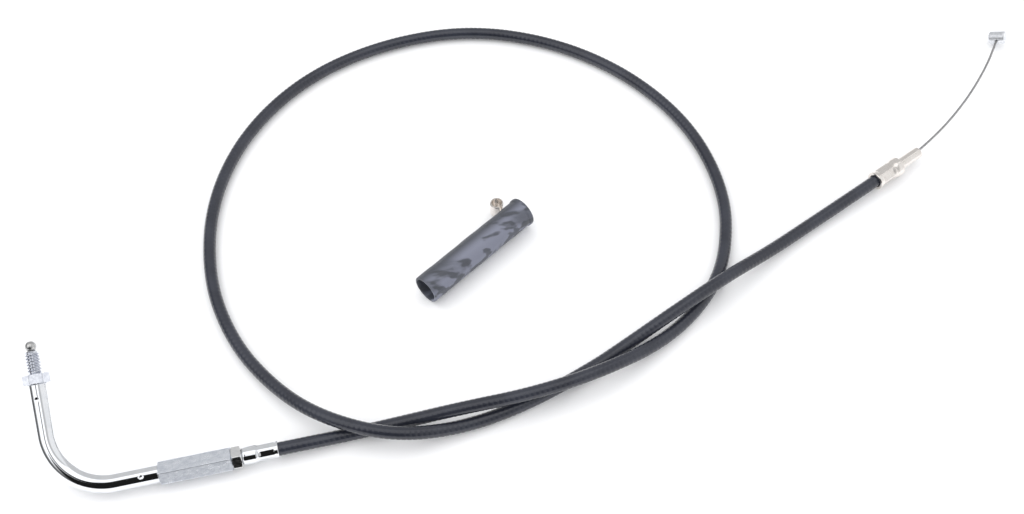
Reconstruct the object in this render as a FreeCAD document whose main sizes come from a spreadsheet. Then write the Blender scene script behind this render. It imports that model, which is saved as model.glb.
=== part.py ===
"""A motorcycle throttle cable: swivelling elbow, screw adjuster, casing and barrel end.

Millimetres, +Z up. The origin is on the table under the long hexagon coupling, close to
its middle, and +X runs along the adjuster's axis, from the elbow towards the casing.
"""

import FreeCAD, Part
import math
import os

import Sketcher

from FreeCAD import Placement, Rotation, Vector

# ---------------------------------------------------------------- driving dimensions

DIMENSIONS = [
    ("wire_diameter", 1.2, "inner wire, stranded steel"),
    ("liner_bore", 2.4, "nylon liner's bore, which the wire slides in"),
    ("liner_diameter", 3.0, "nylon liner's outside"),
    ("conduit_bore", 3.1, "wound steel conduit's bore"),
    ("conduit_diameter", 4.9, "wound steel conduit's outside"),
    ("casing_bore", 5.0, "vinyl jacket's bore"),
    ("casing_diameter", 5.8, "vinyl jacket's outside"),
    ("running_gap", 0.05, "radial clearance of pieces that turn or slide in each other"),
    ("coupling_flats", 9.525, "long coupling across its flats, 3/8 inch"),
    ("coupling_length", 30.0, "long coupling"),
    ("coupling_middle", 0.85, "long coupling's middle, from the origin towards the casing"),
    ("coupling_chamfer", 0.7, "bevel at the coupling's ends"),
    ("lip_length", 1.5, "lip that is rolled in at the coupling's elbow end"),
    ("flange_length", 2.0, "sleeve's flange behind the lip"),
    ("flange_diameter", 7.4, "sleeve's flange"),
    ("sleeve_tail", 1.6, "sleeve past its flange, towards the casing"),
    ("screw_diameter", 6.35, "adjuster's screw thread, 1/4-28"),
    ("screw_pitch", 0.907, "adjuster's screw thread, 28 to the inch"),
    ("screw_depth", 0.5, "adjuster's thread depth"),
    ("screw_turns", 26, "turns of thread on the adjuster's stem"),
    ("nut_flats", 9.15, "jam nut across its flats, so that its corners clear the table"),
    ("nut_length", 4.3, "jam nut's thickness"),
    ("nut_chamfer", 0.9, "jam nut's bevel, along its axis"),
    ("nut_turn", -4.0, "degrees the jam nut is turned on from the coupling's flats"),
    ("neck_length", 0.15, "stem that shows between the jam nut and the ferrule"),
    ("head_length", 3.4, "stem's head inside the casing ferrule"),
    ("head_diameter", 7.0, "stem's head"),
    ("cap_length", 15.0, "casing ferrule"),
    ("cap_diameter", 7.9, "casing ferrule round the stem's head"),
    ("cap_shoulder", 6.3, "casing ferrule's uncrimped length"),
    ("cap_wall", 1.0, "casing ferrule's front wall"),
    ("crimp_diameter", 6.9, "casing ferrule where it is crimped"),
    ("crimp_flats", 6.55, "casing ferrule across its six crimp marks"),
    ("jaw_width", 3.8, "one face of the crimping jaws"),
    ("jaw_reach", 5.0, "crimping jaw's back, from the ferrule's axis"),
    ("cap_mouth", 7.4, "casing ferrule's flared mouth"),
    ("cap_turn", 10.0, "degrees the casing ferrule's crimp marks are turned"),
    ("elbow_diameter", 7.94, "elbow tube, 5/16 inch"),
    ("elbow_bore", 6.0, "elbow tube's bore"),
    ("bend_radius", 24.0, "elbow's bend, to the tube's middle"),
    ("elbow_run", 18.15, "straight tube from the coupling to the bend"),
    ("elbow_arm", 22.0, "straight tube from the bend to the fitting's hexagon"),
    ("elbow_roll", 30.0, "degrees the elbow stands up from the table"),
    ("elbow_liner_diameter", 5.8, "nylon guide inside the elbow"),
    ("stake_run", 7.1, "stake mark's distance from the coupling"),
    ("stake_drop", 6.5, "stake mark's distance below the hexagon"),
    ("arm_stake_turn", 6.0, "degrees the arm's stake mark is turned away from the run"),
    ("nub_diameter", 1.6, "nub that a punch raises in the tube's bore"),
    ("nub_length", 1.0, "nub that a punch raises in the tube's bore"),
    ("punch_diameter", 2.3, "punch's ball, which leaves the dent"),
    ("punch_height", 0.6, "punch's middle above the tube's outside"),
    ("stake_depth", 0.35, "how far a stake stands into the tube's bore"),
    ("groove_depth", 0.5, "groove that a stake rides in"),
    ("groove_width", 2.4, "groove that a stake rides in"),
    ("shank_length", 10.0, "part of a fitting that is inside the elbow tube"),
    ("hexagon_flats", 9.525, "threaded fitting across its flats, 3/8 inch"),
    ("hexagon_length", 4.2, "threaded fitting's hexagon"),
    ("hexagon_turn", 14.0, "degrees the threaded fitting is turned"),
    ("thread_diameter", 6.35, "threaded fitting, 1/4-20"),
    ("thread_pitch", 1.27, "threaded fitting, 20 to the inch"),
    ("thread_depth", 0.7, "threaded fitting's thread depth"),
    ("thread_turns", 7, "turns of thread that show"),
    ("thread_length", 9.6, "threaded fitting past its hexagon"),
    ("fitting_bore", 2.2, "bore that the wire passes through"),
    ("seat_diameter", 3.4, "ball's seat at the thread's end"),
    ("seat_depth", 0.6, "ball's seat at the thread's end"),
    ("ball_diameter", 4.76, "ball end, 3/16 inch"),
    ("ball_flat", 2.25, "ball's flat, from the ball's middle"),
    ("ball_socket", 0.8, "wire's end inside the ball, past the ball's middle"),
    ("ball_reach", 2.0, "ball's middle past the thread's end"),
    ("stub_length", 36.0, "wire that moves with the ball"),
    ("ferrule_length", 16.0, "end ferrule's body"),
    ("ferrule_front", 9.4, "end ferrule's body next to the nose"),
    ("ferrule_back", 8.6, "end ferrule's body next to the casing"),
    ("ferrule_mouth", 9.0, "end ferrule's flared rim"),
    ("ferrule_flats", 7.75, "end ferrule across its six crimp marks"),
    ("nose_length", 13.7, "end ferrule's nose"),
    ("nose_diameter", 5.5, "end ferrule's nose"),
    ("nose_bore", 2.5, "end ferrule's nose"),
    ("ferrule_turn", 12.0, "degrees the end ferrule's crimp marks are turned"),
    ("casing_in_ferrule", 14.7, "casing inside the end ferrule"),
    ("ferrule_heading", 24.0, "degrees from +X to the end ferrule's axis"),
    ("wire_bow", 222.0, "radius that the bare wire is bowed to"),
    ("wire_kink", 5.2, "degrees between the nose and the bare wire"),
    ("wire_offset", 0.5, "bare wire's place in the nose's mouth, off its axis"),
    ("wire_out", 94.0, "bare wire from the nose to the barrel's middle"),
    ("wire_tail", 3.0, "bare wire's start, inside the nose"),
    ("barrel_diameter", 6.4, "barrel end"),
    ("barrel_length", 7.9, "barrel end"),
    ("barrel_round", 0.7, "barrel end's rounded edges"),
    ("barrel_grip", 7.7, "wire inside the barrel, up to its middle"),
    ("barrel_heading", -36.5, "degrees from +X to the barrel's axis, square to the wire"),
    ("barrel_tilt", 25.0, "degrees the barrel's axis rises"),
    ("boot_length", 62.5, "rubber boot for the adjuster"),
    ("boot_diameter", 13.7, "rubber boot"),
    ("boot_bore", 11.2, "rubber boot, which goes over the coupling"),
    ("boot_lip_diameter", 14.6, "bead at the boot's closed end"),
    ("boot_lip_length", 2.0, "bead at the boot's closed end"),
    ("boot_neck_length", 5.0, "boot's closed end"),
    ("boot_neck_bore", 5.6, "boot's closed end, which grips the casing"),
    ("boot_heading", 31.9, "degrees from +X to the boot's axis"),
    ("spare_diameter", 6.4, "spare ferrule for the ball end"),
    ("spare_length", 7.5, "spare ferrule"),
    ("spare_bore", 5.0, "spare ferrule's seat for the ball"),
    ("spare_depth", 5.7, "spare ferrule's seat"),
    ("spare_slot", 1.7, "slot that the wire drops through"),
    ("spare_heading", 118.0, "degrees from +X to the spare ferrule's unslotted side"),
]

# Places on the table: the end ferrule's mouth, the open end of the boot, the spare ferrule.
FERRULE_MOUTH = (332.34, 77.1)
BOOT_OPEN_END = (110.5, 63.0)
SPARE_PLACE = (152.4, 103.2)

# The casing lies in one loose loop that crosses its own two ends: points of its route
# from the casing ferrule round to the end ferrule, where it lies on itself twice.
CASING_ROUTE = [
    (25.0, 0.0, 4.76),
    (45.0, 0.0, 4.7),
    (65.0, 1.0, 2.9),
    (85.0, 1.5, 3.0),
    (113.0, -1.0, 9.7),
    (145.0, -1.0, 9.7),
    (176.0, 3.0, 9.7),
    (209.0, 15.0, 3.0),
    (234.0, 32.0, 2.9),
    (250.0, 53.0, 2.9),
    (261.0, 88.0, 2.9),
    (257.0, 132.0, 2.9),
    (236.0, 172.0, 2.9),
    (204.0, 202.0, 2.9),
    (163.0, 220.0, 2.9),
    (118.0, 220.0, 2.9),
    (76.0, 206.0, 2.9),
    (42.0, 177.0, 2.9),
    (21.0, 138.0, 2.9),
    (15.0, 94.0, 2.9),
    (22.0, 58.0, 2.9),
    (37.0, 30.0, 4.0),
    (55.0, 8.0, 9.9),
    (82.0, -7.0, 9.9),
    (111.0, -7.0, 3.0),
    (142.0, -2.0, 2.9),
    (174.0, 9.0, 2.9),
    (192.0, 17.0, 3.0),
    (216.0, 25.0, 9.9),
    (245.0, 38.0, 9.9),
    (270.0, 50.0, 4.0),
    (294.0, 61.0, 2.9),
]

doc = FreeCAD.newDocument("throttle_cable")
sheet = doc.addObject("Spreadsheet::Sheet", "Sizes")
for row, (alias, value, note) in enumerate(DIMENSIONS, start=1):
    sheet.set(f"A{row}", alias)
    sheet.set(f"B{row}", str(value))
    sheet.set(f"C{row}", note)
    sheet.setAlias(f"B{row}", alias)
doc.recompute()
size = {alias: float(getattr(sheet, alias)) for alias, _, _ in DIMENSIONS}


def bound(formula):
    """A formula of aliases as an expression on the sheet's cells."""
    words = formula.replace("(", " ( ").replace(")", " ) ").split()
    return " ".join(f"Sizes.{word}" if word in size else word for word in words)


def worked_out(formula):
    """The same formula as a number, for shapes that expressions can't reach."""
    words = formula.replace("(", " ( ").replace(")", " ) ").split()
    total = FreeCAD.Units.Quantity(
        " ".join(repr(size[word]) if word in size else word for word in words)
    )
    return total.Value


# ---------------------------------------------------------------- building blocks

pieces = {}


def piece(label, made, placement):
    """Names a finished object and puts it in its place."""
    made.Label = label
    made.Placement = placement
    pieces[label] = made
    return made


def heading(degrees, x, y, z):
    """A place on the table whose own X axis points that many degrees from +X."""
    return Placement(Vector(x, y, z), Rotation(Vector(0, 0, 1), degrees))


def outline(body, role, points, offset=None):
    """A closed sketch whose corners are bound to the sheet, on one of the body's planes."""
    plane = [f for f in body.Origin.OriginFeatures if f.Role == role][0]
    sketch = body.newObject("Sketcher::SketchObject", "Outline")
    sketch.AttachmentSupport = [(plane, "")]
    sketch.MapMode = "FlatFace"
    if offset is not None:
        sketch.setExpression("AttachmentOffset.Base.z", bound(offset))
    corners = [Vector(worked_out(a), worked_out(b), 0) for a, b in points]
    count = len(corners)
    for i in range(count):
        sketch.addGeometry(Part.LineSegment(corners[i], corners[(i + 1) % count]))
    for i in range(count):
        sketch.addConstraint(Sketcher.Constraint("Coincident", i, 2, (i + 1) % count, 1))
    for i, (a, b) in enumerate(points):
        for kind, formula, value in (("DistanceX", a, corners[i].x), ("DistanceY", b, corners[i].y)):
            number = sketch.addConstraint(Sketcher.Constraint(kind, i, 1, value))
            sketch.setExpression(f"Constraints[{number}]", bound(formula))
    return sketch


def turned(body, points):
    """Turns an outline of (along X, radius) corners about the body's X axis."""
    feature = body.newObject("PartDesign::Revolution", "Turned")
    feature.Profile = outline(body, "XY_Plane", points)
    feature.ReferenceAxis = (feature.Profile[0], ["H_Axis"])
    feature.Angle = 360
    body.Tip = feature
    doc.recompute()
    return feature


def grooved(body, points):
    """Cuts an outline of (along X, radius) corners, turned about the body's X axis."""
    before = body.Shape.Volume
    feature = body.newObject("PartDesign::Groove", "Grooved")
    feature.Profile = outline(body, "XY_Plane", points)
    feature.ReferenceAxis = (feature.Profile[0], ["H_Axis"])
    feature.Angle = 360
    body.Tip = feature
    doc.recompute()
    if body.Shape.Volume > before - 1e-3:
        raise RuntimeError(f"{body.Name}: a groove cut nothing")
    return feature


def hexagon(body, flats, start, length):
    """Adds a hexagonal bar about the body's X axis, with a flat facing -Z."""
    corners = []
    for k in range(6):
        across, up = math.sin(math.radians(60 * k + 30)), math.cos(math.radians(60 * k + 30))
        corner = f"( {flats} ) / 2 / {math.cos(math.radians(30)):.9f}"
        corners.append((f"{corner} * {across:.9f}", f"{corner} * {up:.9f}"))
    feature = body.newObject("PartDesign::Pad", "Hexagon")
    feature.Profile = outline(body, "YZ_Plane", corners, start)
    feature.setExpression("Length", bound(length))
    body.Tip = feature
    doc.recompute()
    return feature


def crimped(body, flats, start, length):
    """Presses six flats round a ferrule."""
    half, top = "jaw_width / 2", "jaw_reach"
    pocket = body.newObject("PartDesign::Pocket", "Crimp")
    edge = f"( {flats} ) / 2"
    corners = [(f"0 - {half}", edge), (half, edge), (half, top), (f"0 - {half}", top)]
    pocket.Profile = outline(body, "YZ_Plane", corners, start)
    pocket.setExpression("Length", bound(length))
    pocket.Reversed = True
    doc.recompute()
    pattern = body.newObject("PartDesign::PolarPattern", "Crimps")
    pattern.Originals = [pocket]
    pattern.Axis = ([f for f in body.Origin.OriginFeatures if f.Role == "X_Axis"][0], [""])
    pattern.Angle = 360
    pattern.Occurrences = 6
    before = body.Shape.Volume
    body.Tip = pattern
    doc.recompute()
    if body.Shape.Volume > before - 1e-3:
        raise RuntimeError(f"{body.Name}: the crimp cut nothing")
    return pattern


def new_body(name):
    return doc.addObject("PartDesign::Body", name)


def ridges(start, outer, depth, pitch, turns):
    """Corners of a thread's ridges from one end to the other."""
    corners = []
    for k in range(int(size[turns])):
        foot = f"{start} + {pitch} * {k}"
        corners += [
            (f"{foot} + {pitch} * 0.08", f"{outer} / 2 - {depth}"),
            (f"{foot} + {pitch} * 0.42", f"{outer} / 2"),
            (f"{foot} + {pitch} * 0.58", f"{outer} / 2"),
            (f"{foot} + {pitch} * 0.92", f"{outer} / 2 - {depth}"),
        ]
    return corners


def joined(kind, name, parts):
    """A Part boolean of several objects."""
    made = doc.addObject(kind, name)
    made.Shapes = parts
    return made


def cut(name, base, tool):
    made = doc.addObject("Part::Cut", name)
    made.Base = base
    made.Tool = tool
    return made


def shaped(name, shape):
    """A piece whose shape comes from Part's own functions."""
    made = doc.addObject("Part::Feature", name)
    made.Shape = shape
    return made


# ---------------------------------------------------------------- the adjuster

AXIS_HEIGHT = size["coupling_flats"] / 2  # the coupling lies on one of its flats
NEAR_END = "coupling_middle - coupling_length / 2"
FAR_END = "coupling_middle + coupling_length / 2"


def on_adjuster(turn=0.0, x=0.0):
    """A place on the adjuster's axis, turned about it by that many degrees."""
    return Placement(Vector(x, 0, AXIS_HEIGHT), Rotation(Vector(1, 0, 0), turn))


def beveled_ends(body, flats, start, length, bevel):
    """Takes the corners off both ends of a hexagonal bar."""
    round_it, inside = f"{flats} * 0.65", f"{flats} * 0.48"
    grooved(body, [(f"{start}", inside), (f"{start}", round_it), (f"{start} + {bevel}", round_it)])
    end = f"{start} + {length}"
    grooved(body, [(f"{end} - {bevel}", round_it), (f"{end}", round_it), (f"{end}", inside)])


def adjuster_coupling():
    """Long hexagon: a rolled lip holds the sleeve, and the rest is bored for the screw."""
    body = new_body("Coupling")
    hexagon(body, "coupling_flats", NEAR_END, "coupling_length")
    beveled_ends(body, "coupling_flats", NEAR_END, "coupling_length", "coupling_chamfer")
    shank = "elbow_bore / 2"
    flange = "flange_diameter / 2 + running_gap"
    screw = "screw_diameter / 2 + running_gap"
    lip = f"{NEAR_END} + lip_length"
    floor = f"{lip} + flange_length + running_gap"
    grooved(body, [
        (f"{NEAR_END} - 1", "0"), (f"{NEAR_END} - 1", shank), (lip, shank), (lip, flange),
        (floor, flange), (floor, screw), (f"{FAR_END} + 1", screw), (f"{FAR_END} + 1", "0"),
    ])
    return piece("adjuster_coupling", body, on_adjuster())


def jam_nut():
    """Thin hexagon nut that locks the coupling on the screw."""
    body = new_body("Jam_nut")
    hexagon(body, "nut_flats", "0", "nut_length")
    beveled_ends(body, "nut_flats", "0", "nut_length", "nut_chamfer")
    screw = "screw_diameter / 2 + running_gap"
    grooved(body, [
        ("0 - 1", "0"), ("0 - 1", screw), ("nut_length + 1", screw), ("nut_length + 1", "0")])
    start = worked_out(f"{FAR_END} + running_gap")
    return piece("jam_nut", body, on_adjuster(size["nut_turn"], start))


def swivel_sleeve():
    """Bush that the coupling turns on: its shank is staked into the elbow tube."""
    lip = f"{NEAR_END} + lip_length"
    shank = "elbow_bore / 2 - running_gap"
    groove = f"{shank} - groove_depth"
    flange = "flange_diameter / 2"
    bore = "liner_diameter / 2 + running_gap"
    stake = f"{NEAR_END} - stake_run"
    far = f"{NEAR_END} - shank_length"
    tail = f"{lip} + flange_length + sleeve_tail"
    body = new_body("Sleeve")
    turned(body, [
        (far, bore), (far, shank),
        (f"{stake} - groove_width / 2", shank), (f"{stake} - groove_width / 2", groove),
        (f"{stake} + groove_width / 2", groove), (f"{stake} + groove_width / 2", shank),
        (f"{lip} + running_gap", shank), (f"{lip} + running_gap", flange),
        (f"{lip} + flange_length", flange), (f"{lip} + flange_length", f"{bore} + 0.9"),
        (tail, f"{bore} + 0.9"), (tail, bore),
    ])
    return piece("swivel_sleeve", body, on_adjuster())


NECK = f"{FAR_END} + running_gap + nut_length + neck_length"  # where the casing ferrule starts


def adjuster_stem():
    """Threaded stem whose head is held in the casing ferrule."""
    bore = "liner_diameter / 2 + running_gap"
    screw = "screw_diameter / 2"
    root = f"{screw} - screw_depth"
    wall = f"{NECK} + cap_wall"
    start = f"{NECK} - screw_pitch * screw_turns"
    head = "head_diameter / 2 - running_gap"
    body = new_body("Stem")
    turned(body, [(f"{start} - 0.6", bore), (f"{start} - 0.6", root)]
           + ridges(start, "screw_diameter", "screw_depth", "screw_pitch", "screw_turns")
           + [(NECK, f"{screw} - 0.1"), (f"{wall} + running_gap", f"{screw} - 0.1"),
              (f"{wall} + running_gap", head), (f"{wall} + head_length", head),
              (f"{wall} + head_length", bore)])
    return piece("adjuster_stem", body, on_adjuster())


def casing_ferrule():
    """Cap crimped over the casing's end, with the stem's head inside it."""
    cap, crimp = "cap_diameter / 2", "crimp_diameter / 2"
    casing = "casing_diameter / 2 + running_gap"
    chamber = "head_diameter / 2"
    inner = f"{NECK} + cap_wall"
    floor = f"{inner} + head_length + running_gap"
    end = f"{NECK} + cap_length"
    shoulder, mouth = f"{NECK} + cap_shoulder", "cap_mouth / 2"
    body = new_body("Casing_ferrule")
    turned(body, [
        (NECK, "screw_diameter / 2"), (NECK, f"{cap} - 0.5"), (f"{NECK} + 0.35", f"{cap} - 0.15"),
        (f"{NECK} + 1", cap), (f"{shoulder} - 0.8", cap), (f"{shoulder} - 0.3", f"{cap} - 0.2"),
        (f"{shoulder} + 0.4", crimp), (f"{end} - 1.6", crimp), (f"{end} - 0.6", mouth),
        (f"{end} - 0.1", mouth), (end, f"{mouth} - 0.15"), (end, f"{casing} + 0.2"),
        (f"{end} - 0.4", casing), (floor, casing), (floor, chamber), (inner, chamber),
        (inner, "screw_diameter / 2"),
    ])
    crimped(body, "crimp_flats", f"{shoulder} + 0.9", "cap_length - cap_shoulder - 3.2")
    return piece("casing_ferrule", body, on_adjuster(size["cap_turn"]))


# ---------------------------------------------------------------- the elbow

BEND_START = worked_out(f"{NEAR_END} - elbow_run")
ARM_X = BEND_START - size["bend_radius"]
HEXAGON_FOOT = size["bend_radius"] + size["elbow_arm"]
ROLL = Rotation(Vector(1, 0, 0), size["elbow_roll"])
THROUGH_RUN, THROUGH_ARM = "elbow_run * 2 + 5", "elbow_arm + 5"  # a bore that leaves both ends open


def on_elbow(turn=None):
    """The elbow's own place: X along the adjuster, Y up the arm, rolled off the table."""
    place = Placement(Vector(0, 0, AXIS_HEIGHT), ROLL)
    return place if turn is None else place.multiply(turn)


def along_arm(distance):
    """The fitting's place: its own X runs up the arm from a point on the arm's axis."""
    return on_elbow(Placement(Vector(ARM_X, distance, 0), Rotation(Vector(0, 0, 1), 90)))


def bent_bar(name, radius, run_start, arm_end):
    """A round bar along the adjuster's axis, round the bend and up the arm."""
    run = doc.addObject("Part::Cylinder", f"{name}_run")
    run.setExpression("Radius", bound(radius))
    run.setExpression("Height", bound(f"{run_start} - elbow_run"))
    run.Placement = Placement(Vector(BEND_START, 0, 0), Rotation(Vector(0, 1, 0), 90))
    bend = doc.addObject("Part::Torus", f"{name}_bend")
    bend.setExpression("Radius1", bound("bend_radius"))
    bend.setExpression("Radius2", bound(radius))
    bend.Angle3 = 90
    bend.Placement = Placement(Vector(BEND_START, size["bend_radius"], 0), Rotation(Vector(0, 0, 1), 180))
    arm = doc.addObject("Part::Cylinder", f"{name}_arm")
    arm.setExpression("Radius", bound(radius))
    arm.setExpression("Height", bound(arm_end))
    arm.Placement = Placement(Vector(ARM_X, size["bend_radius"], 0), Rotation(Vector(1, 0, 0), -90))
    return joined("Part::MultiFuse", name, [run, bend, arm])


def stake(name, x, y, away):
    """A punch mark at a point of the tube's axis: a nub inside and a dent outside."""
    bore, outside = size["elbow_bore"] / 2, size["elbow_diameter"] / 2
    nub = doc.addObject("Part::Cylinder", f"{name}_nub")
    nub.setExpression("Radius", bound("nub_diameter / 2"))
    nub.setExpression("Height", bound("nub_length"))
    axis = Vector(x, y, 0)
    inside = axis + away * (bore - size["stake_depth"])
    nub.Placement = Placement(inside, Rotation(Vector(0, 0, 1), away))
    dent = doc.addObject("Part::Sphere", f"{name}_dent")
    dent.setExpression("Radius", bound("punch_diameter / 2"))
    dent.Placement = Placement(axis + away * (outside + size["punch_height"]), Rotation())
    return nub, dent


def elbow_tube():
    """Chromed tube bent square, with a stake mark over each fitting's groove."""
    turn = math.radians(size["arm_stake_turn"])
    run_stake_x = worked_out(f"{NEAR_END} - stake_run")
    run_nub, run_dent = stake("Run_stake", run_stake_x, 0, Vector(0, 0, 1))
    arm_nub, arm_dent = stake(
        "Arm_stake", ARM_X, HEXAGON_FOOT - size["stake_drop"],
        Vector(-math.sin(turn), 0, math.cos(turn)))
    outside = bent_bar(
        "Tube_outside", "elbow_diameter / 2", "elbow_run * 2 - running_gap", "elbow_arm - running_gap")
    inside = bent_bar("Tube_bore", "elbow_bore / 2", THROUGH_RUN, THROUGH_ARM)
    shell = cut("Tube_shell", outside, inside)
    nubbed = joined("Part::MultiFuse", "Tube_nubs", [shell, run_nub, arm_nub])
    dents = joined("Part::MultiFuse", "Tube_dents", [run_dent, arm_dent])
    return piece("elbow_tube", cut("Elbow_tube", nubbed, dents), on_elbow())


def elbow_liner():
    """Nylon guide that fills the tube between the sleeve and the threaded fitting."""
    outside = bent_bar(
        "Guide_outside", "elbow_liner_diameter / 2", "elbow_run * 2 - shank_length - 0.2",
        "elbow_arm - shank_length - 0.2")
    inside = bent_bar("Guide_bore", "liner_bore / 2", THROUGH_RUN, THROUGH_ARM)
    return piece("elbow_liner", cut("Elbow_liner", outside, inside), on_elbow())


def elbow_wire():
    """The inner wire where it goes round the bend."""
    bar = bent_bar("Elbow_wire", "wire_diameter / 2", "elbow_run * 2 - shank_length - 0.5", "1")
    return piece("elbow_wire", bar, on_elbow())


def housing_stud():
    """Threaded fitting: a grooved shank in the tube, a hexagon, and a thread with a ball seat."""
    shank, bore = "elbow_bore / 2 - running_gap", "fitting_bore / 2"
    groove = f"{shank} - groove_depth"
    core = "thread_diameter / 2 - thread_depth"
    foot, end = "hexagon_length", "hexagon_length + thread_length"
    start = f"{foot} + 0.6"
    body = new_body("Stud")
    turned(body, [
        ("0 - shank_length", bore), ("0 - shank_length", shank),
        ("0 - stake_drop - groove_width / 2", shank), ("0 - stake_drop - groove_width / 2", groove),
        ("0 - stake_drop + groove_width / 2", groove), ("0 - stake_drop + groove_width / 2", shank),
        ("0.5", shank), ("0.5", core)]
        + ridges(start, "thread_diameter", "thread_depth", "thread_pitch", "thread_turns")
        + [(end, f"{core} - 0.1"), (end, "seat_diameter / 2"), (f"{end} - seat_depth", bore)])
    hexagon(body, "hexagon_flats", "0", "hexagon_length")
    beveled_ends(body, "hexagon_flats", "0", "hexagon_length", "0.5")
    grooved(body, [("0 - 1", "0"), ("0 - 1", bore), (f"{foot} + 1", bore), (f"{foot} + 1", "0")])
    turn = Placement(Vector(), Rotation(Vector(1, 0, 0), size["hexagon_turn"]))
    return piece("housing_stud", body, along_arm(HEXAGON_FOOT).multiply(turn))


BALL_PLACE = HEXAGON_FOOT + size["hexagon_length"] + size["thread_length"] + size["ball_reach"]


def ball_end():
    """Ball swaged on the wire's end, with the flat where the wire was cut off."""
    ball = doc.addObject("Part::Sphere", "Ball")
    ball.setExpression("Radius", bound("ball_diameter / 2"))
    top = doc.addObject("Part::Cylinder", "Ball_top")
    top.setExpression("Radius", bound("ball_diameter"))
    top.setExpression("Height", bound("ball_diameter"))
    top.setExpression("Placement.Base.z", bound("ball_flat"))
    bore = doc.addObject("Part::Cylinder", "Ball_bore")
    bore.setExpression("Radius", bound("wire_diameter / 2"))
    bore.setExpression("Height", bound("ball_diameter"))
    bore.setExpression("Placement.Base.z", bound("ball_socket - ball_diameter"))
    tools = joined("Part::MultiFuse", "Ball_tools", [top, bore])
    upright = Placement(Vector(), Rotation(Vector(0, 1, 0), 90))
    return piece("ball_end", cut("Ball_end", ball, tools), along_arm(BALL_PLACE).multiply(upright))


def ball_wire():
    """The inner wire's straight end, which moves with the ball."""
    wire = doc.addObject("Part::Cylinder", "Ball_wire")
    wire.setExpression("Radius", bound("wire_diameter / 2"))
    wire.setExpression("Height", bound("stub_length"))
    upright = Placement(Vector(), Rotation(Vector(0, 1, 0), -90))
    end = along_arm(BALL_PLACE + size["ball_socket"])
    return piece("ball_wire", wire, end.multiply(upright))


# ---------------------------------------------------------------- the end ferrule and bare wire

FERRULE = heading(size["ferrule_heading"], *FERRULE_MOUTH, size["ferrule_front"] / 2)
TIP = size["ferrule_length"] + size["nose_length"]


def end_ferrule():
    """Stepped ferrule: crimped on the casing, with a nose for the bracket."""
    casing = "casing_diameter / 2 + running_gap"
    back, front, nose = "ferrule_back / 2", "ferrule_front / 2", "nose_diameter / 2"
    tip = "ferrule_length + nose_length"
    body = new_body("End_ferrule")
    bore, shoulder = "nose_bore / 2", "ferrule_length"
    turned(body, [
        ("0", f"{casing} + 0.3"), ("0", "ferrule_mouth / 2 - 0.15"), ("0.2", "ferrule_mouth / 2"),
        ("0.7", "ferrule_mouth / 2"), ("1.7", back), (f"{shoulder} - 5", back),
        (f"{shoulder} - 3.6", front), (f"{shoulder} - 0.5", front), (shoulder, f"{front} - 0.5"),
        (shoulder, nose), (f"{tip} - 0.4", nose), (tip, f"{nose} - 0.4"), (tip, f"{bore} + 0.2"),
        (f"{tip} - 0.3", bore), ("casing_in_ferrule + 0.1", bore),
        ("casing_in_ferrule + 0.1", casing), ("0.5", casing),
    ])
    crimped(body, "ferrule_flats", "2.4", "ferrule_length - 8")
    turn = Placement(Vector(), Rotation(Vector(1, 0, 0), size["ferrule_turn"]))
    return piece("end_ferrule", body, FERRULE.multiply(turn))


def bow():
    """The bare wire's circle in the ferrule's frame: its middle and its start's angle."""
    lean = math.radians(size["wire_kink"])
    mouth = Vector(TIP, size["wire_offset"], 0)
    middle = mouth + Vector(-math.sin(lean), math.cos(lean), 0) * size["wire_bow"]
    return middle, math.degrees(lean) - 90


def bow_place(length):
    """A place on the circle that far out of the nose, with X along the wire."""
    middle, start = bow()
    angle = start + math.degrees(length / size["wire_bow"])
    out = Vector(math.cos(math.radians(angle)), math.sin(math.radians(angle)), 0)
    return Placement(middle + out * size["wire_bow"], Rotation(Vector(0, 0, 1), angle + 90))


def barrel_wire():
    """The bare wire from inside the nose to the barrel, bowed to one radius."""
    wire = doc.addObject("Part::Torus", "Barrel_wire")
    wire.setExpression("Radius1", bound("wire_bow"))
    wire.setExpression("Radius2", bound("wire_diameter / 2"))
    wire.setExpression("Angle3", bound("( wire_out + wire_tail ) / wire_bow * 180 / 3.14159265"))
    middle, start = bow()
    tail = start - math.degrees(size["wire_tail"] / size["wire_bow"])
    arc = Placement(middle, Rotation(Vector(0, 0, 1), tail))
    return piece("barrel_wire", wire, FERRULE.multiply(arc))


def barrel_end():
    """Barrel cast on the wire, with the wire let into its side."""
    body = new_body("Barrel")
    half, radius = "barrel_length / 2", "barrel_diameter / 2"
    turned(body, [
        (f"0 - {half}", "0"), (f"0 - {half}", f"{radius} - barrel_round"),
        (f"0 - {half} + barrel_round * 0.3", f"{radius} - barrel_round * 0.3"),
        (f"0 - {half} + barrel_round", radius), (f"{half} - barrel_round", radius),
        (f"{half} - barrel_round * 0.3", f"{radius} - barrel_round * 0.3"),
        (half, f"{radius} - barrel_round"), (half, "0"),
    ])
    spot = FERRULE.multiply(bow_place(size["wire_out"]))
    turn = Rotation(Vector(0, 0, 1), size["barrel_heading"])
    tilt = Rotation(Vector(0, 1, 0), -size["barrel_tilt"])
    body.Placement = Placement(spot.Base, turn.multiply(tilt))
    bore = doc.addObject("Part::Cylinder", "Barrel_bore")
    bore.setExpression("Radius", bound("wire_diameter / 2 + running_gap / 2"))
    bore.setExpression("Height", bound("barrel_grip + 0.3"))
    bore.Placement = spot.multiply(Placement(Vector(0.3, 0, 0), Rotation(Vector(0, 1, 0), -90)))
    return piece("barrel_end", cut("Barrel_end", body, bore), Placement())


# ---------------------------------------------------------------- the casing

END_POINT = FERRULE.multVec(Vector(size["casing_in_ferrule"], 0, 0))
LEAD_IN = FERRULE.multVec(Vector(size["casing_in_ferrule"] - 25.5, 0, 0))
ROUTE = [Vector(*point) for point in CASING_ROUTE] + [LEAD_IN, END_POINT]
SHORT_OF_CORNER = 0.45


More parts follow.
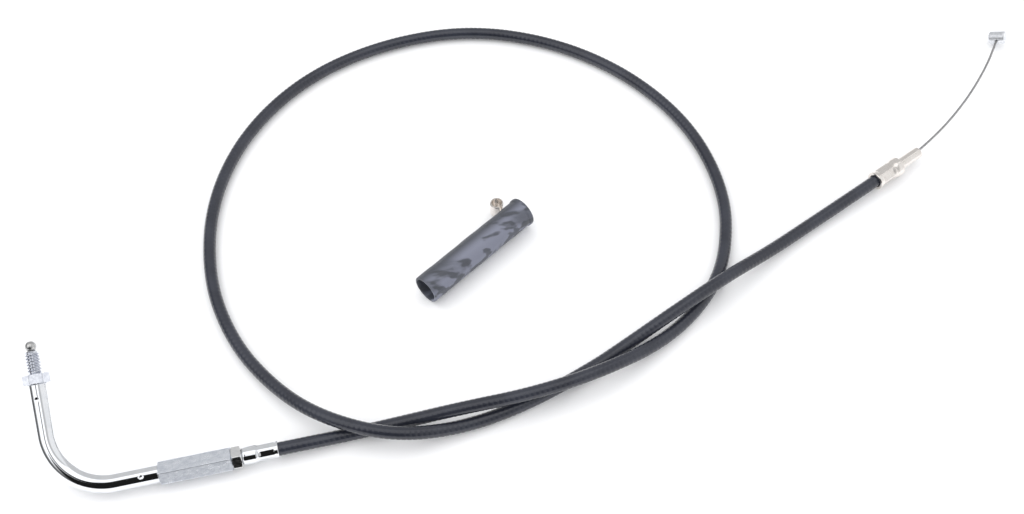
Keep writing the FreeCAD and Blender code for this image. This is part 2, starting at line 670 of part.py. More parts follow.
def smooth_path(points):
    """Straight runs joined by tangent arcs, as large as the shorter run allows."""
    edges, place = [], points[0]
    for before, corner, after in zip(points, points[1:], points[2:]):
        coming, going = (corner - before), (after - corner)
        cut_back = SHORT_OF_CORNER * min(coming.Length, going.Length)
        turn = coming.getAngle(going)
        radius = cut_back / math.tan(turn / 2)
        coming.normalize()
        going.normalize()
        start, end = corner - coming * cut_back, corner + going * cut_back
        inward = going - coming
        inward.normalize()
        middle = corner + inward * radius * (1 / math.cos(turn / 2) - 1)
        edges.append(Part.LineSegment(place, start).toShape())
        edges.append(Part.Arc(start, middle, end).toShape())
        place = end
    edges.append(Part.LineSegment(place, points[-1]).toShape())
    return Part.Wire(edges)


def swept(path, start, towards, radius):
    """A round bar along a path."""
    ring = Part.Wire([Part.Circle(start, towards - start, radius).toShape()])
    bar = path.makePipeShell([ring], True, False)
    expected = math.pi * radius ** 2 * path.Length
    if abs(bar.Volume - expected) > 0.01 * expected:
        raise RuntimeError(f"a swept bar has {bar.Volume:.1f} mm3 and not {expected:.1f}")
    return bar


def route_bar(points, diameter):
    return swept(smooth_path(points), points[0], points[1], diameter / 2)


def route_tube(name, points, diameter, bore):
    """A tube along a route, open at both ends."""
    tube = route_bar(points, diameter).cut(route_bar(points, bore))
    return shaped(name, tube)


def casing():
    """Vinyl jacket, wound conduit, nylon liner and inner wire, one in the other."""
    print("casing length", round(smooth_path(ROUTE).Length, 1))
    sleeve_end = worked_out(f"{NEAR_END} - shank_length")
    liner = [Vector(sleeve_end + 1.0, 0, AXIS_HEIGHT)] + ROUTE[1:]
    for label, points, outside, bore in (
        ("casing_jacket", ROUTE, "casing_diameter", "casing_bore"),
        ("casing_conduit", ROUTE, "conduit_diameter", "conduit_bore"),
        ("casing_liner", liner, "liner_diameter", "liner_bore"),
    ):
        tube = route_tube(label.capitalize(), points, size[outside], size[bore])
        piece(label, tube, Placement())
    wire_end = FERRULE.multVec(Vector(-0.8, 0, 0))
    wire = [Vector(sleeve_end + 1.5, 0, AXIS_HEIGHT)] + ROUTE[1:-1] + [wire_end]
    piece("inner_wire", shaped("Inner_wire", route_bar(wire, size["wire_diameter"])), Placement())


# ---------------------------------------------------------------- loose pieces in the kit


def adjuster_boot():
    """Rubber sleeve that covers the adjuster, lying on its bead and its open end's edge."""
    radius, lip = "boot_diameter / 2", "boot_lip_diameter / 2"
    bore, neck = "boot_bore / 2", "boot_neck_bore / 2"
    end = "boot_length"
    body = new_body("Boot")
    turned(body, [
        ("0", bore), ("0", f"{radius} - 0.3"), ("0.3", radius),
        (f"{end} - boot_lip_length - 0.3", radius), (f"{end} - boot_lip_length", lip),
        (f"{end} - 0.5", lip), (end, f"{lip} - 0.5"), (end, neck),
        (f"{end} - boot_neck_length", neck), (f"{end} - boot_neck_length - 1.5", bore),
    ])
    rise = (size["boot_lip_diameter"] - size["boot_diameter"]) / 2
    lean = math.degrees(math.asin(rise / (size["boot_length"] - size["boot_lip_length"])))
    flat = heading(size["boot_heading"], *BOOT_OPEN_END, size["boot_diameter"] / 2)
    leaning = Placement(Vector(), Rotation(Vector(0, 1, 0), -lean))
    return piece("adjuster_boot", body, flat.multiply(leaning))


def spare_ferrule():
    """Small slotted ferrule that seats the ball end, standing with its mouth up."""
    body = new_body("Spare")
    radius, bore, end = "spare_diameter / 2", "spare_bore / 2", "spare_length"
    hole = "spare_slot / 2 + running_gap"
    floor = f"{end} - spare_depth"
    turned(body, [
        ("0", hole), ("0", f"{radius} - 0.4"), ("0.4", radius), (f"{end} - 0.2", radius),
        (end, f"{radius} - 0.2"), (end, bore), (floor, bore), (floor, hole),
    ])
    upright = Placement(Vector(), Rotation(Vector(0, 1, 0), -90))
    place = heading(size["spare_heading"], *SPARE_PLACE, 0).multiply(upright)
    body.Placement = place
    slot = doc.addObject("Part::Box", "Spare_slot")
    slot.setExpression("Length", bound("spare_length + 2"))
    slot.setExpression("Width", bound("spare_slot"))
    slot.setExpression("Height", bound("spare_diameter"))
    slot.Placement = place.multiply(Placement(Vector(-1, -size["spare_slot"] / 2, 0), Rotation()))
    return piece("spare_ferrule", cut("Spare_ferrule", body, slot), Placement())


# ---------------------------------------------------------------- build, check and write

for build in (
    adjuster_coupling, jam_nut, swivel_sleeve, adjuster_stem, casing_ferrule,
    elbow_tube, elbow_liner, elbow_wire, housing_stud, ball_end, ball_wire,
    end_ferrule, barrel_wire, barrel_end, casing, adjuster_boot, spare_ferrule,
):
    build()
doc.recompute()

for made in doc.Objects:
    if {"Invalid", "Error"} & set(made.State):
        raise RuntimeError(f"{made.Label} did not compute: {made.State}")
os.makedirs("parts", exist_ok=True)
for label, made in pieces.items():
    shape = made.Shape
    if shape.isNull() or not shape.isValid():
        raise RuntimeError(f"{label} has no valid shape")
    print(f"{label:20s} {shape.Volume:10.1f} mm3, {len(shape.Solids)} solid(s)")
    shape.exportStep(f"parts/{label}.step")
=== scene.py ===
import math

import bpy
import numpy as np
from mathutils import Matrix, Vector


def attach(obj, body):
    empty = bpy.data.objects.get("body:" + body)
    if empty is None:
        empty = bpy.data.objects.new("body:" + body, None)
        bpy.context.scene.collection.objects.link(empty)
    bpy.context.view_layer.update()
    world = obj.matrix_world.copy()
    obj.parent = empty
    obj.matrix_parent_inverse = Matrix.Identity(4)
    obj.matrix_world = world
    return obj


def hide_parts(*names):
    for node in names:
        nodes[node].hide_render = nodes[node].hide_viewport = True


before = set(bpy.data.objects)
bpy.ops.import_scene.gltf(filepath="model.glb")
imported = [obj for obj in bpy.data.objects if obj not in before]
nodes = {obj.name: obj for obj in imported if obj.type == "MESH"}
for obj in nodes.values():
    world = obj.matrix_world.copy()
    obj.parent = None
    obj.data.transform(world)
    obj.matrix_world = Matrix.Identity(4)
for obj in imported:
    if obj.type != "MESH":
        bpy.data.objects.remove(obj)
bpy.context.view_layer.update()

MM = 0.001
scene = bpy.context.scene


# ---------------------------------------------------------------- camera

CAMERA_PLACE = Vector((73.617, -270.106, 517.475)) * MM
CAMERA_AIM = Vector((153.621, 76.429, 0.0)) * MM

camera_data = bpy.data.cameras.new("Camera")
camera_data.lens = 47.46
camera_data.sensor_width = 36.0
camera_data.clip_start = 0.01
camera_data.clip_end = 50
camera = bpy.data.objects.new("Camera", camera_data)
camera.location = CAMERA_PLACE
camera.rotation_euler = (CAMERA_AIM - CAMERA_PLACE).to_track_quat("-Z", "Y").to_euler()
scene.collection.objects.link(camera)
scene.camera = camera
scene.view_settings.view_transform = "Standard"
scene.view_settings.look = "None"


# ---------------------------------------------------------------- node graphs

RAMP_SOCKETS = ("From Min", "From Max", "To Min", "To Max")


class Graph:
    """A material's nodes, made by short calls."""

    def __init__(self, name):
        self.material = bpy.data.materials.new(name)
        self.material.use_nodes = True
        self.tree = self.material.node_tree
        self.shader = self.tree.nodes["Principled BSDF"]
        where = self.node("ShaderNodeTexCoord")
        scaled = self.node("ShaderNodeVectorMath", operation="SCALE")
        self.link(where.outputs["Object"], scaled.inputs[0])
        scaled.inputs["Scale"].default_value = 1 / MM
        self.place = scaled.outputs[0]

    def node(self, kind, **settings):
        made = self.tree.nodes.new(kind)
        for key, value in settings.items():
            setattr(made, key, value)
        return made

    def link(self, a, b):
        self.tree.links.new(a, b)

    def stretched(self, scale, turn=0.0):
        """Places in millimetres, turned about Z and scaled along each axis."""
        made = self.node("ShaderNodeMapping")
        made.inputs["Rotation"].default_value[2] = math.radians(turn)
        made.inputs["Scale"].default_value = scale
        self.link(self.place, made.inputs["Vector"])
        return made.outputs[0]

    def noise(self, scale, detail=3.0, where=None, rough=0.55):
        made = self.node("ShaderNodeTexNoise")
        made.inputs["Scale"].default_value = scale
        made.inputs["Detail"].default_value = detail
        made.inputs["Roughness"].default_value = rough
        self.link(where or self.place, made.inputs["Vector"])
        return made.outputs["Fac"]

    def ramp(self, value, low, high, to_low, to_high):
        """A number from low to high, spread over to_low to to_high."""
        made = self.node("ShaderNodeMapRange", interpolation_type="SMOOTHSTEP")
        for key, number in zip(RAMP_SOCKETS, (low, high, to_low, to_high)):
            made.inputs[key].default_value = number
        self.link(value, made.inputs["Value"])
        return made.outputs["Result"]

    def math(self, operation, a, b=None):
        made = self.node("ShaderNodeMath", operation=operation)
        for socket, value in zip(made.inputs, (a, b)):
            if isinstance(value, (int, float)):
                socket.default_value = value
            elif value is not None:
                self.link(value, socket)
        return made.outputs[0]

    def blend(self, factor, a, b):
        made = self.node("ShaderNodeMix", data_type="RGBA")
        self.link(factor, made.inputs[0])
        for socket, value in ((made.inputs[6], a), (made.inputs[7], b)):
            if isinstance(value, tuple):
                socket.default_value = (*value, 1.0)
            else:
                self.link(value, socket)
        return made.outputs[2]

    def bump(self, height, distance, strength=1.0):
        made = self.node("ShaderNodeBump")
        made.inputs["Strength"].default_value = strength
        made.inputs["Distance"].default_value = distance * MM
        self.link(height, made.inputs["Height"])
        self.link(made.outputs[0], self.shader.inputs["Normal"])

    def set(self, **values):
        """Sets the shader's sockets, each to a number, a colour or another node's output."""
        for key, value in values.items():
            socket = self.shader.inputs[key.replace("_", " ")]
            if isinstance(value, tuple):
                socket.default_value = (*value, 1.0)
            elif isinstance(value, (int, float)):
                socket.default_value = value
            else:
                self.link(value, socket)
        return self.material


def metal(name, light, dark, smooth, rough, grain, streak=(1, 1, 1), turn=0.0, bump=0.01, fine=6.0):
    """Plated metal: colour and roughness drift together in patches, with a fine surface over them."""
    g = Graph(name)
    where = g.stretched(streak, turn)
    patches = g.noise(grain, 4.0, where)
    spots = g.noise(fine, 2.0, where)
    mix = g.math("ADD", g.math("MULTIPLY", patches, 0.7), g.math("MULTIPLY", spots, 0.3))
    g.bump(spots, bump)
    return g.set(
        Metallic=1.0, Base_Color=g.blend(g.ramp(mix, 0.35, 0.65, 0.0, 1.0), dark, light),
        Roughness=g.ramp(mix, 0.35, 0.65, rough, smooth))


chrome = metal("chrome", (0.93, 0.94, 0.96), (0.86, 0.88, 0.91), 0.035, 0.075, 0.25, bump=0.002, fine=2.0)
zinc = metal(
    "satin_zinc", (0.82, 0.85, 0.90), (0.62, 0.65, 0.71), 0.26, 0.38, 0.9, (0.45, 1, 1), bump=0.02, fine=3.4)
bright_zinc = metal("bright_zinc", (0.92, 0.92, 0.91), (0.84, 0.84, 0.85), 0.07, 0.13, 0.5, bump=0.004)
machined = metal("machined_steel", (0.76, 0.78, 0.83), (0.58, 0.60, 0.66), 0.09, 0.16, 0.6, bump=0.003)
ball_steel = metal("ball_steel", (0.66, 0.65, 0.63), (0.50, 0.51, 0.52), 0.20, 0.32, 0.9, bump=0.006)
nickel = metal("warm_nickel", (0.90, 0.86, 0.82), (0.85, 0.80, 0.755), 0.20, 0.26, 0.45, bump=0.001)
cast = metal("cast_zinc", (0.90, 0.91, 0.94), (0.76, 0.78, 0.81), 0.34, 0.50, 0.8, bump=0.02, fine=4.0)
strands = metal("wire_steel", (0.52, 0.51, 0.51), (0.30, 0.30, 0.31), 0.25, 0.40, 1.2, bump=0.004)
conduit_steel = metal("conduit_steel", (0.55, 0.55, 0.55), (0.40, 0.40, 0.41), 0.35, 0.50, 1.0)


def vinyl():
    g = Graph("black_vinyl")
    cloud = g.noise(0.06, 3.0)
    grain = g.noise(2.4, 4.0)
    g.bump(grain, 0.02)
    return g.set(
        Base_Color=g.blend(g.ramp(cloud, 0.35, 0.65, 0.0, 1.0), (0.019, 0.021, 0.031), (0.028, 0.031, 0.044)),
        Roughness=g.ramp(grain, 0.3, 0.7, 0.17, 0.27), IOR=1.58)


def rubber():
    """Matte rubber, with painted sheen: long pale patches of painted reflection, most of them painted on one
    side.
    """
    g = Graph("boot_rubber")
    lengthwise = g.stretched((0.40, 1.25, 1.0), -BOOT_HEADING)
    drift = g.noise(0.10, 3.0, lengthwise, 0.45)
    # Painted reflection: this noise places the pale patches of painted sheen, and it also drives a bump.
    sheen_noise = g.noise(0.20, 2.0, lengthwise, 0.5)
    specks = g.noise(1.5, 3.0)
    across = g.node("ShaderNodeVectorMath", operation="DOT_PRODUCT")
    side = math.radians(BOOT_HEADING - 90)
    across.inputs[1].default_value = (math.cos(side), math.sin(side), 0.0)
    g.link(g.place, across.inputs[0])
    middle = BOOT_PLACE.x * math.cos(side) + BOOT_PLACE.y * math.sin(side)
    # Painted sheen, brighter on one side of the boot and darker on the other.
    sheen_side = g.ramp(across.outputs["Value"], middle - 3.0, middle + 2.5, 0.12, 1.0)
    patches = g.math("MULTIPLY", g.ramp(sheen_noise, 0.43, 0.52, 0.25, 1.0), g.ramp(drift, 0.36, 0.56, 0.35, 1.0))
    g.bump(g.math("ADD", specks, g.math("MULTIPLY", sheen_noise, 1.5)), 0.04)
    return g.set(
        # The pale colour is painted reflection, not the rubber's own colour.
        Base_Color=g.blend(g.math("MULTIPLY", patches, sheen_side), (0.046, 0.050, 0.060), (0.185, 0.195, 0.250)),
        Roughness=g.ramp(specks, 0.3, 0.7, 0.40, 0.58), IOR=1.5)


def nylon():
    g = Graph("nylon")
    cloud = g.noise(0.4)
    return g.set(
        Base_Color=g.blend(cloud, (0.74, 0.72, 0.66), (0.84, 0.83, 0.78)),
        Roughness=g.ramp(g.noise(2.0), 0.3, 0.7, 0.38, 0.5))


BOOT_PLACE, BOOT_HEADING = Vector((110.5, 63.0, 6.85)), 31.9

black_vinyl, boot_rubber, natural_nylon = vinyl(), rubber(), nylon()


# ---------------------------------------------------------------- meshes


def mesh_piece(name, points, faces, material, sharp=32.0):
    """A smooth-shaded mesh in the row frame, from points in metres, with its hard edges kept."""
    mesh = bpy.data.meshes.new(name)
    mesh.from_pydata([tuple(p) for p in points], [], faces)
    mesh.validate()
    mesh.shade_smooth()
    mesh.set_sharp_from_angle(angle=math.radians(sharp))
    mesh.materials.append(material)
    made = bpy.data.objects.new(name, mesh)
    scene.collection.objects.link(made)
    return made


def skin(name, rings, material, closed=False, sharp=32.0):
    """Quads over rings of points. Where closed the last ring joins the first, and else each end gets a cap."""
    rows, columns = rings.shape[:2]
    grid = np.arange(rows * columns).reshape(rows, columns)
    if closed:
        grid = np.vstack([grid, grid[:1]])
    a, b = grid[:-1], grid[1:]
    quads = np.stack([a, np.roll(a, -1, 1), np.roll(b, -1, 1), b], -1).reshape(-1, 4)
    faces = [tuple(q) for q in quads.tolist()]
    if not closed:
        faces += [tuple(reversed(grid[0].tolist())), tuple(grid[-1].tolist())]
    return mesh_piece(name, rings.reshape(-1, 3), faces, material, sharp)


def placed(points, place):
    """Points in millimetres in a piece's own frame, as metres in the row frame."""
    turn, shift = np.array(place.to_3x3()), np.array(place.translation)
    return (points @ turn.T + shift) * MM


def finer(profile, step):
    """The same outline, with no stretch longer than step."""
    made = []
    for (x0, r0), (x1, r1) in zip(profile, profile[1:] + profile[:1]):
        parts = max(1, math.ceil(math.hypot(x1 - x0, r1 - r0) / step))
        made += [(x0 + (x1 - x0) * i / parts, r0 + (r1 - r0) * i / parts) for i in range(parts)]
    return made


def round_columns(count=96):
    return np.arange(count) * 2 * math.pi / count


def sided_columns():
    """Angles round a hexagon, crowded at its corners."""
    side = [-30, -29.2, -28.3, -27.2, -26, -24, -20, -14, -7, 0, 7, 14, 20, 24, 26, 27.2, 28.3, 29.2]
    return np.radians([60 * k + a for k in range(6) for a in side])


def six_sided(angle, flats, corner):
    """Distance to the side of a hexagon with rounded corners, at each angle from the middle of a flat."""
    off = np.mod(angle + math.pi / 6, math.pi / 3) - math.pi / 6
    flat = flats / 2 / np.cos(off)
    middle = (flats / 2 - corner) / math.cos(math.pi / 6)
    from_corner = math.pi / 6 - np.abs(off)
    reach = corner ** 2 - (middle * np.sin(from_corner)) ** 2
    arc = middle * np.cos(from_corner) + np.sqrt(np.maximum(reach, 0.0))
    tangent = math.pi / 6 - math.atan(middle * 0.5 / (flats / 2))
    return np.where(from_corner < tangent, arc, flat)


def turned(name, place, profile, material, columns=None, form=None, closed=True, sharp=32.0):
    """A piece turned about its own X axis; form bends each ring's radii."""
    angles = round_columns() if columns is None else columns
    rings = np.zeros((len(profile), len(angles), 3))
    for row, (x, r) in enumerate(profile):
        radius = np.full(len(angles), r) if form is None else form(x, r, angles)
        rings[row] = np.stack([np.full(len(angles), x), radius * np.cos(angles), radius * np.sin(angles)], -1)
    return skin(name, placed(rings.reshape(-1, 3), place).reshape(rings.shape), material, closed, sharp)


def along(line, form, columns):
    """Rings round a line; form gives the radius at each distance along it and each angle."""
    step = np.diff(line, axis=0)
    heading = np.vstack([step[:1], step[:-1] + step[1:], step[-1:]])
    heading /= np.linalg.norm(heading, axis=1)[:, None]
    distance = np.concatenate([[0], np.cumsum(np.linalg.norm(step, axis=1))])
    side = np.zeros_like(line)
    start = np.cross([0, 0, 1], heading[0])
    side[0] = start / np.linalg.norm(start)
    for i in range(1, len(line)):
        turned_side = side[i - 1] - heading[i] * (side[i - 1] @ heading[i])
        side[i] = turned_side / np.linalg.norm(turned_side)
    up = np.cross(heading, side)
    angles = round_columns(columns)
    radius = form(distance[:, None], angles[None, :])
    across = side[:, None] * np.cos(angles)[None, :, None] + up[:, None] * np.sin(angles)[None, :, None]
    return line[:, None] + across * radius[..., None]


def nurbs_line(points, spacing):
    """Evenly spaced points along the NURBS spline whose control points are given in millimetres."""
    curve = bpy.data.curves.new("route", "CURVE")
    curve.dimensions = "3D"
    curve.resolution_u = 48
    spline = curve.splines.new("NURBS")
    spline.points.add(len(points) - 1)
    for control, point in zip(spline.points, points):
        control.co = (*(Vector(point) * MM), 1.0)
    spline.order_u = 3
    spline.use_endpoint_u = True
    holder = bpy.data.objects.new("route", curve)
    mesh = bpy.data.meshes.new_from_object(holder)
    line = np.array([v.co[:] for v in mesh.vertices], dtype=float)
    bpy.data.objects.remove(holder)
    bpy.data.curves.remove(curve)
    bpy.data.meshes.remove(mesh)
    reach = np.concatenate([[0], np.cumsum(np.linalg.norm(np.diff(line, axis=0), axis=1))])
    keep = np.concatenate([[True], np.diff(reach) > 1e-9])
    stops = np.linspace(0, reach[-1], max(2, round(reach[-1] / spacing)) + 1)
    return np.stack([np.interp(stops, reach[keep], line[keep, k]) for k in range(3)], -1)


def own(piece, body, slot, *replaced):
    """The piece rides on a body and stands for CAD nodes, which are hidden; slot is not used."""
    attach(piece, body)
    if replaced:
        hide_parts(*replaced)
    return piece


def rotation(angle, axis):
    return Matrix.Rotation(math.radians(angle), 4, axis)


# ---------------------------------------------------------------- cords

CASING_ROUTE = [
    (25.0, 0.0, 4.76), (45.0, 0.0, 4.7), (65.0, 1.0, 2.9), (85.0, 1.5, 3.0), (113.0, -1.0, 9.7),
    (145.0, -1.0, 9.7),
    (176.0, 3.0, 9.7), (209.0, 15.0, 3.0), (234.0, 32.0, 2.9), (250.0, 53.0, 2.9), (261.0, 88.0, 2.9),
    (257.0, 132.0, 2.9), (236.0, 172.0, 2.9), (204.0, 202.0, 2.9), (163.0, 220.0, 2.9), (118.0, 220.0, 2.9),
    (76.0, 206.0, 2.9), (42.0, 177.0, 2.9), (21.0, 138.0, 2.9), (15.0, 94.0, 2.9), (22.0, 58.0, 2.9),
    (37.0, 30.0, 4.0), (55.0, 8.0, 9.9), (82.0, -7.0, 9.9), (111.0, -7.0, 3.0), (142.0, -2.0, 2.9),
    (174.0, 9.0, 2.9),
    (192.0, 17.0, 3.0), (216.0, 25.0, 9.9), (245.0, 38.0, 9.9), (270.0, 50.0, 4.0), (294.0, 61.0, 2.9),
    (322.474, 72.707, 4.7), (345.769, 83.079, 4.7),
]
CASING_RADIUS, RIB_PITCH, RIB_DEPTH = 2.9 * MM, 2.3 * MM, 0.13 * MM
GUIDE_RADIUS = 1.5
WIRE_RADIUS, WIRE_LAY = 0.6, 7.5  # every length of the inner wire is the same

route = nurbs_line(CASING_ROUTE, 0.42 * MM)
route_length = float(np.linalg.norm(np.diff(route, axis=0), axis=1).sum())


def ribbed(distance, angle):
    """A jacket drawn tight on a wound conduit: a shallow groove runs round it as a screw."""
    turn = np.mod(distance / RIB_PITCH - angle / (2 * math.pi), 1.0)
    groove = np.exp(-((turn - 0.5) / 0.13) ** 2)
    return CASING_RADIUS - RIB_DEPTH * groove


def even(radius):
    return lambda distance, angle: np.full(np.broadcast(distance, angle).shape, radius * MM)


jacket = own(
    skin("vinyl_casing", along(route, ribbed, 36), black_vinyl, sharp=60), "casing", "vinyl", "casing_jacket")


def wound(distance, angle):
    """A conduit of flat wire wound as a spring."""
    turn = np.mod(distance / (1.15 * MM) - angle / (2 * math.pi), 1.0)
    return (2.37 - 0.12 * np.exp(-((turn - 0.5) / 0.12) ** 2)) * MM


coarse_route = route[::4]  # the guide and core wire are smooth, so every fourth point carries them
conduit = own(
    skin("wound_conduit", along(route[2:-2:2], wound, 12), conduit_steel),
    "casing", "wire_steel", "casing_conduit")
liner = own(
    skin("casing_guide", along(coarse_route, even(GUIDE_RADIUS), 16), natural_nylon), "casing", "nylon",
    "casing_liner")
core_wire = own(
    skin("casing_core_wire", along(coarse_route, even(WIRE_RADIUS), 12), strands), "casing", "wire_steel",
    "inner_wire")

WIRE_ROUTE = [
    (356.64, 88.19, 4.7), (363.68, 92.0, 4.7), (380.55, 102.77, 4.7), (399.29, 117.8, 4.7),
    (415.94, 134.42, 4.7),
    (426.61, 147.54, 4.7), (429.81, 151.89, 4.7),
]


def stranded(radius, lay, lobes=6):
    """A wire laid up from strands, whose ridges run round it as a screw."""

    def form(distance, angle):
        wave = np.abs(np.cos((angle - 2 * math.pi * distance / (lay * MM)) * lobes / 2))
        return (radius * (0.84 + 0.16 * wave)) * MM

    return form


wire_line = nurbs_line(WIRE_ROUTE, 0.35 * MM)
wire_length = float(np.linalg.norm(np.diff(wire_line, axis=0), axis=1).sum())
bare_wire = own(
    skin("bare_wire", along(wire_line, stranded(WIRE_RADIUS, WIRE_LAY), 24), strands, sharp=70),
    "barrel", "wire_steel", "barrel_wire")


# ---------------------------------------------------------------- the adjuster

ADJUSTER = Matrix.Translation((0, 0, 4.7625))
NEAR_END, FAR_END = -14.15, 15.85  # the coupling's, towards the elbow and the casing
SCREW, SCREW_PITCH, SCREW_DEPTH = 3.175, 0.907, 0.5


def hex_form(flats, corner):
    return lambda x, r, angle: np.minimum(r, six_sided(angle, flats, corner))


def hex_bar(name, place, flats, start, end, cone, bore, corner, material, body=()):
    """A hexagonal bar, its ends coned off, bored through; body holds the bore's steps."""
    tip, run = cone
    rim = flats * 0.65
    steps = np.linspace(0, 1, 9)
    profile = [(start + run * t, tip + (rim - tip) * t) for t in steps]
    profile += [(start + run + (end - start - 2 * run) * t, rim) for t in (0.02, 0.5, 0.98)]
    profile += [(end - run * (1 - t), rim + (tip - rim) * t) for t in steps]
    profile += list(body) or [(end, bore), (start, bore)]
    form = hex_form(flats, corner)
    return turned(
        name, place, profile, material, sided_columns(),
        lambda x, r, angle: form(x, r, angle) if r > bore_limit(flats) else np.full(len(angle), r), sharp=24)


def bore_limit(flats):
    """Radii up to this belong to a hexagon's bore."""
    return flats * 0.44


coupling = own(
    hex_bar(
        "hex_coupling", ADJUSTER @ rotation(30, "X"), 9.525, NEAR_END, FAR_END, (4.572, 0.7), 3.0, 0.42, zinc,
        body=[
            (FAR_END, 3.4), (FAR_END - 0.3, 3.225), (NEAR_END + 3.55, 3.225), (NEAR_END + 3.55, 3.75),
            (NEAR_END + 1.5, 3.75), (NEAR_END + 1.5, 3.0), (NEAR_END, 3.0)]),
    "coupling", "zinc_plate", "adjuster_coupling")
lock_nut = own(
    hex_bar(
        "lock_nut", ADJUSTER @ rotation(30 - 4, "X"), 9.15, FAR_END + 0.05, FAR_END + 4.35, (4.39, 0.9),
        3.225, 0.5,
        bright_zinc),
    "jam_nut", "bright_zinc", "jam_nut")


def thread_form(crest, depth, pitch, start, end):
    """A right-handed screw thread between two places, which fades out at each end."""

    def form(x, r, angle):
        if r < crest - depth * 1.4 or not start < x < end:
            return np.full(len(angle), r)
        turn = np.mod(x / pitch - angle / (2 * math.pi), 1.0)
        ridge = np.clip(1.6 - np.abs(turn - 0.5) * 4.4, 0.0, 1.0)
        fade = min(1.0, (x - start) / pitch, (end - x) / pitch)
        return crest - depth + depth * ridge * fade

    return form


def threaded(name, place, before, after, crest, depth, pitch, start, end, material):
    """A turned piece with a screw thread; before and after are its outline on each side of the thread."""
    rows = np.arange(start, end, pitch / 11)
    profile = list(before) + [(float(x), crest - depth) for x in rows] + list(after)
    return turned(
        name, place, profile, material, round_columns(48), thread_form(crest, depth, pitch, start, end),
        sharp=50)


stem = own(
    threaded(
        "adjuster_screw", ADJUSTER, [(-3.83, 1.55), (-3.83, 2.675)],
        [(20.4, 3.075), (21.4, 3.075), (21.4, 3.45), (24.75, 3.45), (24.75, 1.55)],
        SCREW, SCREW_DEPTH, SCREW_PITCH, -3.7, 20.3, machined),
    "casing", "machined_steel", "adjuster_stem")


def crimp(flats, corner, start, end, rise, least):
    """Presses a ferrule to six sides between two places, easing in and out; bores are left round."""

    def form(x, r, angle):
        ring = np.full(len(angle), r)
        if r < least:
            return ring
        ease = np.clip(min((x - start) / rise, (end - x) / rise), 0.0, 1.0)
        ease = ease * ease * (3 - 2 * ease)
        return ring + (np.minimum(ring, six_sided(angle, flats, corner)) - ring) * ease

    return form


CAP = 20.35
cap_outline = [
    (CAP, 3.45), (CAP + 0.12, 3.62), (CAP + 0.35, 3.80), (CAP + 0.65, 3.91), (CAP + 1.0, 3.95),
    (CAP + 5.2, 3.95),
    (CAP + 5.6, 3.92), (CAP + 6.0, 3.80), (CAP + 6.35, 3.62), (CAP + 6.7, 3.49), (CAP + 7.1, 3.45),
    (CAP + 13.2, 3.45),
    (CAP + 13.7, 3.50), (CAP + 14.2, 3.62), (CAP + 14.6, 3.70), (CAP + 14.85, 3.69), (CAP + 15.0, 3.58),
    (CAP + 15.0, 3.15), (CAP + 14.6, 3.0), (CAP + 4.5, 3.0), (CAP + 4.5, 3.5), (CAP + 1.0, 3.5),
    (CAP + 1.0, 3.18),
    (CAP, 3.18),
]
cap_ferrule = own(
    turned(
        "casing_crimp", ADJUSTER @ rotation(10, "X"), finer(cap_outline, 0.35), chrome, round_columns(120),
        crimp(6.5, 0.9, CAP + 6.9, CAP + 13.6, 0.9, 3.3), sharp=40),
    "casing", "chrome", "casing_ferrule")


# ---------------------------------------------------------------- the elbow

ELBOW = ADJUSTER @ rotation(30, "X")
BEND, RUN_END, ARM = 24.0, NEAR_END - 18.15, 22.0
ARM_X, FOOT = RUN_END - BEND, BEND + ARM


def elbow_line():
    """The tube's middle: along the adjuster, round the bend and up the arm, with a heading at each point."""
    line = [((x, 0.0, 0.0), 0.0) for x in np.linspace(NEAR_END - 0.05, RUN_END, 44)]
    for angle in np.linspace(0, math.pi / 2, 96)[1:]:
        line.append(((RUN_END - BEND * math.sin(angle), BEND - BEND * math.cos(angle), 0.0), angle))
    line += [((ARM_X, y, 0.0), math.pi / 2) for y in np.linspace(BEND, FOOT - 0.05, 58)[1:]]
    return line


STAKES = [
    (Vector((NEAR_END - 7.1, 0, 0)), Vector((0, 0, 1))),
    (Vector((ARM_X, FOOT - 6.5, 0)), Vector((-math.sin(math.radians(6)), 0, math.cos(math.radians(6))))),
]
STAKE_WIDTH, STAKE_DROP = 0.85, 0.38
TUBE_RADIUS, TUBE_BORE, TUBE_LIP = 3.97, 3.0, 0.18
LIP_RUN = 0.4  # the share of the end rows' spacing that each rounded lip takes


def elbow_mesh():
    """Outside and bore of the tube in one closed skin, with a punch mark pressed in at each stake."""
    angles = round_columns(96)
    outside, inside = [], []
    line = elbow_line()
    for place, heading in line:
        side = np.array([math.sin(heading), math.cos(heading), 0.0])
        ring = np.cos(angles)[:, None] * side + np.sin(angles)[:, None] * np.array([0, 0, 1.0])
        surface = np.array(place) + ring * TUBE_RADIUS
        for spot, away in STAKES:
            reach = np.linalg.norm(surface - np.array(spot + away * TUBE_RADIUS), axis=1) / STAKE_WIDTH
            surface -= ring * (STAKE_DROP * np.clip(1 - reach ** 2, 0, 1) ** 1.5)[:, None]
        outside.append(surface)
        inside.append(np.array(place) + ring * TUBE_BORE)
    first, last = outside[0], outside[-1]
    soft_first = first + (np.array(line[0][0]) - first) * (TUBE_LIP / TUBE_RADIUS)
    soft_last = last + (np.array(line[-1][0]) - last) * (TUBE_LIP / TUBE_RADIUS)
    outside[0] = outside[0] + (outside[1] - outside[0]) * LIP_RUN
    rounded_last = outside[-1] + (outside[-2] - outside[-1]) * LIP_RUN
    return np.array([soft_first] + outside[:-1] + [rounded_last, soft_last] + inside[::-1])


elbow_rings = elbow_mesh()
elbow = own(
    skin("chrome_elbow", placed(elbow_rings.reshape(-1, 3), ELBOW).reshape(elbow_rings.shape), chrome,
    closed=True,
         sharp=50),
    "elbow", "chrome", "elbow_tube")

# ---------------------------------------------------------------- the threaded fitting and the ball

